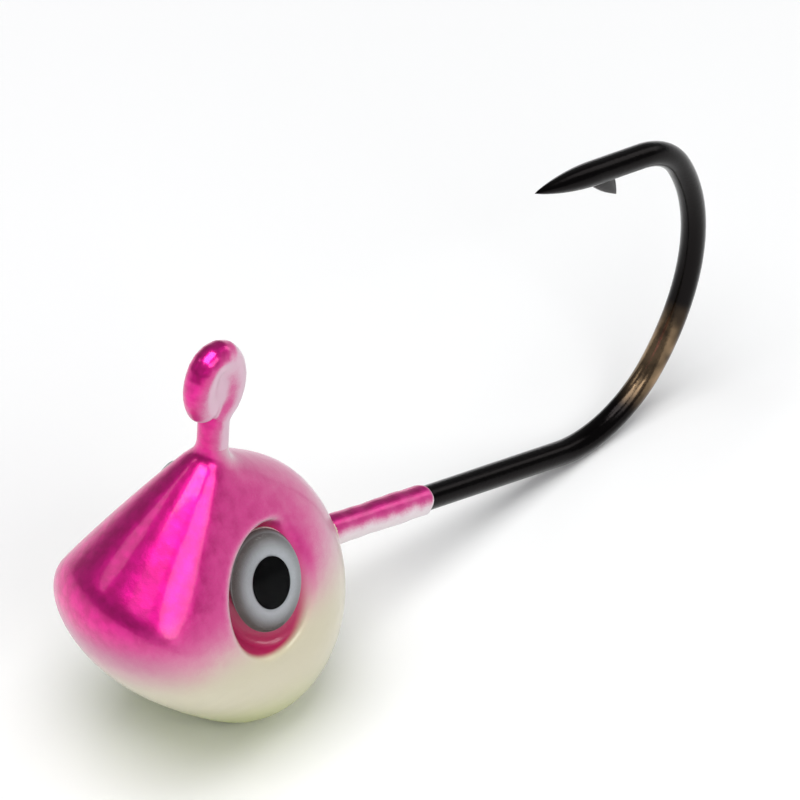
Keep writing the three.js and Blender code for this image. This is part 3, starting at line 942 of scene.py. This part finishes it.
def pale_floor():
    """A pale floor that looks plain white from a distance on, as a studio's sweep does."""
    paint = Paintbox("pale_floor")
    cloud = paint.noise(0.02, 2)
    colour = paint.mix(cloud, rgb(249, 250, 249), rgb(253, 253, 253))
    lit = paint("BsdfPrincipled", {"Base Color": colour, "Roughness": 0.55})
    backdrop = paint("Emission", {"Color": rgb(255, 255, 255), "Strength": 1.0})
    place = paint("TexCoord").outputs["Object"]
    away = paint("VectorMath", {0: place}, operation="LENGTH").outputs["Value"]
    far = paint.ramp(paint.math("DIVIDE", away, MM), *BACKDROP_BLEND)
    seen = paint.math("MULTIPLY", far, paint("LightPath").outputs["Is Camera Ray"])
    shader = paint("MixShader", {0: seen, 1: lit.outputs["BSDF"], 2: backdrop.outputs["Emission"]})
    return paint.finish(shader.outputs["Shader"])


# ---------------------------------------------------------------- the object


def add_attribute(piece, name, values):
    layer = piece.data.attributes.new(name, "FLOAT", "POINT")
    layer.data.foreach_set("value", np.asarray(values, np.float32))


def build_head():
    points, quads, sunk = head_skin()
    skin = make_piece("head_paint", points, quads, painted("candy_and_pearl_paint"))
    add_attribute(skin, "sunk", sunk)
    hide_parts("base_coat", "candy_coat")
    tie = make_piece("line_tie_paint", *line_tie_mesh(), painted("line_tie_paint", TIE_PEARL))
    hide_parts("line_tie_coat")
    sleeve_paint = painted("shank_paint", WHITE_PEARL)
    sleeve = make_piece("shank_paint", *shank_coat_mesh(), sleeve_paint, cut_angle=50)
    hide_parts("shank_coat")
    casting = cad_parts["head_casting"]
    casting.data.materials.clear()
    casting.data.materials.append(cast_lead())


def build_hook():
    nickel = black_nickel()
    hook = make_piece("hook_wire", *hook_mesh(), nickel)
    barb = make_piece("barb", *barb_mesh(), nickel)
    joined(hook, barb, "UNION")
    hook.data.polygons.foreach_set("use_smooth", [True] * len(hook.data.polygons))
    hook.data.set_sharp_from_angle(angle=math.radians(40))
    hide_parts("hook")


def build_eyes():
    looks = adhesive(), silver_foil(), pupil_ink(), clear_resin()
    pad = plate_rings([h - PAD_INSET for h in EYE_HALF], PAD_BOTTOM, PAD_TOP, PAD_EDGE)
    foil = foil_rings([h - FOIL_INSET for h in EYE_HALF])
    pupil = plate_rings(PUPIL_HALF, FOIL_TOP + PLATE_GAP, PUPIL_TOP, PUPIL_EDGE)
    stack = (
        ("pad", "eye_adhesive", pad, (0, 0)),
        ("foil", "eye_foil", foil, (0, 0)),
        ("pupil", "eye_pupil", pupil, PUPIL_SHIFT),
        ("dome", "eye_resin", dome_rings(), (0, 0)),
    )
    for side, label in ((1, "left"), (-1, "right")):
        for (part, slot, rings, shift), look in zip(stack, looks):
            points, faces = oval_stack(side, rings, shift)
            piece = make_piece(f"{label}_{part}", points, faces, look, cut_angle=50)
            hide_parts(f"{label}_eye_{part}")
            if part == "foil":
                add_attribute(piece, "ring", ring_shares(side, np.array(points)))


# ---------------------------------------------------------------- the studio

VIEW_AZIMUTH, VIEW_ELEVATION = 45.4, 44.2
FRAME_WIDTH = 31.0
LENS, SENSOR = 1200.0, 36.0
NEAREST, FARTHEST = 0.02, 20.0  # what the camera sees, in metres
FLOOR_HALF = 6000.0
BACKGROUND_SEEN, BACKGROUND_LIGHT = (1.0, 1.0, 1.0, 1), (0.24, 0.24, 0.25, 1)

# Each lamp: its direction from the object, its distance, its size and its brightness.
LAMPS = {
    "overhead": (20, 76, 330, (230, 230), 5.0),
    "front_fill": (16, 48, 320, (150, 80), 0.7),
    "left_box": (-48, 36, 300, (90, 60), 1.8),
    "right_box": (74, 38, 300, (190, 130), 3.0),
    "rear_box": (172, 28, 300, (130, 180), 1.5),
}


def toward(azimuth, elevation):
    """Direction from the object to a viewer at this azimuth and elevation."""
    a, e = math.radians(azimuth), math.radians(elevation)
    return np.array([math.sin(a) * math.cos(e), -math.cos(a) * math.cos(e), math.sin(e)])


def aim(thing, place, target):
    """Puts a camera or a light at a place in millimetres, facing a target."""
    place, target = np.asarray(place, float), np.asarray(target, float)
    thing.location = place * MM
    facing = Vector((target - place).tolist())
    thing.rotation_euler = facing.to_track_quat("-Z", "Y").to_euler()


def softbox(name, middle, azimuth, elevation, distance, size, glow):
    """An area light round the object's middle. glow is its brightness, where 1 shows as white."""
    light = bpy.data.lights.new(name, "AREA")
    light.shape = "RECTANGLE"
    light.size, light.size_y = size[0] * MM, size[1] * MM
    light.energy = glow * math.pi * light.size * light.size_y
    lamp = bpy.data.objects.new(name, light)
    bpy.context.scene.collection.objects.link(lamp)
    aim(lamp, middle + toward(azimuth, elevation) * distance, middle)
    lamp.visible_camera = False


def build_floor():
    half = FLOOR_HALF
    corners = [(-half, -half, 0), (half, -half, 0), (half, half, 0), (-half, half, 0)]
    mesh = bpy.data.meshes.new("floor")
    mesh.from_pydata([tuple(c * MM for c in corner) for corner in corners], [], [(0, 1, 2, 3)])
    floor = bpy.data.objects.new("floor", mesh)
    mesh.materials.append(pale_floor())
    bpy.context.scene.collection.objects.link(floor)


def build_world():
    """White where the camera looks past the floor, and a dim even light on the object."""
    world = bpy.data.worlds.new("studio")
    bpy.context.scene.world = world
    world.use_nodes = True
    tree = world.node_tree
    tree.nodes.clear()
    output = tree.nodes.new("ShaderNodeOutputWorld")
    seen = tree.nodes.new("ShaderNodeBackground")
    around = tree.nodes.new("ShaderNodeBackground")
    seen.inputs["Color"].default_value = BACKGROUND_SEEN
    around.inputs["Color"].default_value = BACKGROUND_LIGHT
    rays = tree.nodes.new("ShaderNodeLightPath")
    mix = tree.nodes.new("ShaderNodeMixShader")
    tree.links.new(rays.outputs["Is Camera Ray"], mix.inputs[0])
    tree.links.new(around.outputs[0], mix.inputs[1])
    tree.links.new(seen.outputs[0], mix.inputs[2])
    tree.links.new(mix.outputs[0], output.inputs["Surface"])


def build_camera(middle):
    camera = bpy.data.cameras.new("camera")
    camera.lens, camera.sensor_width = LENS, SENSOR
    camera.clip_start, camera.clip_end = NEAREST, FARTHEST
    holder = bpy.data.objects.new("camera", camera)
    bpy.context.scene.collection.objects.link(holder)
    distance = FRAME_WIDTH / SENSOR * LENS
    aim(holder, middle + toward(VIEW_AZIMUTH, VIEW_ELEVATION) * distance, middle)
    bpy.context.scene.camera = holder


build_head()
build_hook()
build_eyes()
low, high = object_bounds()
object_middle = np.array((low + high) / 2) / MM
build_floor()
build_world()
for lamp_name, lamp_setting in LAMPS.items():
    softbox(lamp_name, object_middle, *lamp_setting)
build_camera(object_middle)
bpy.context.scene.view_settings.view_transform = "Standard"
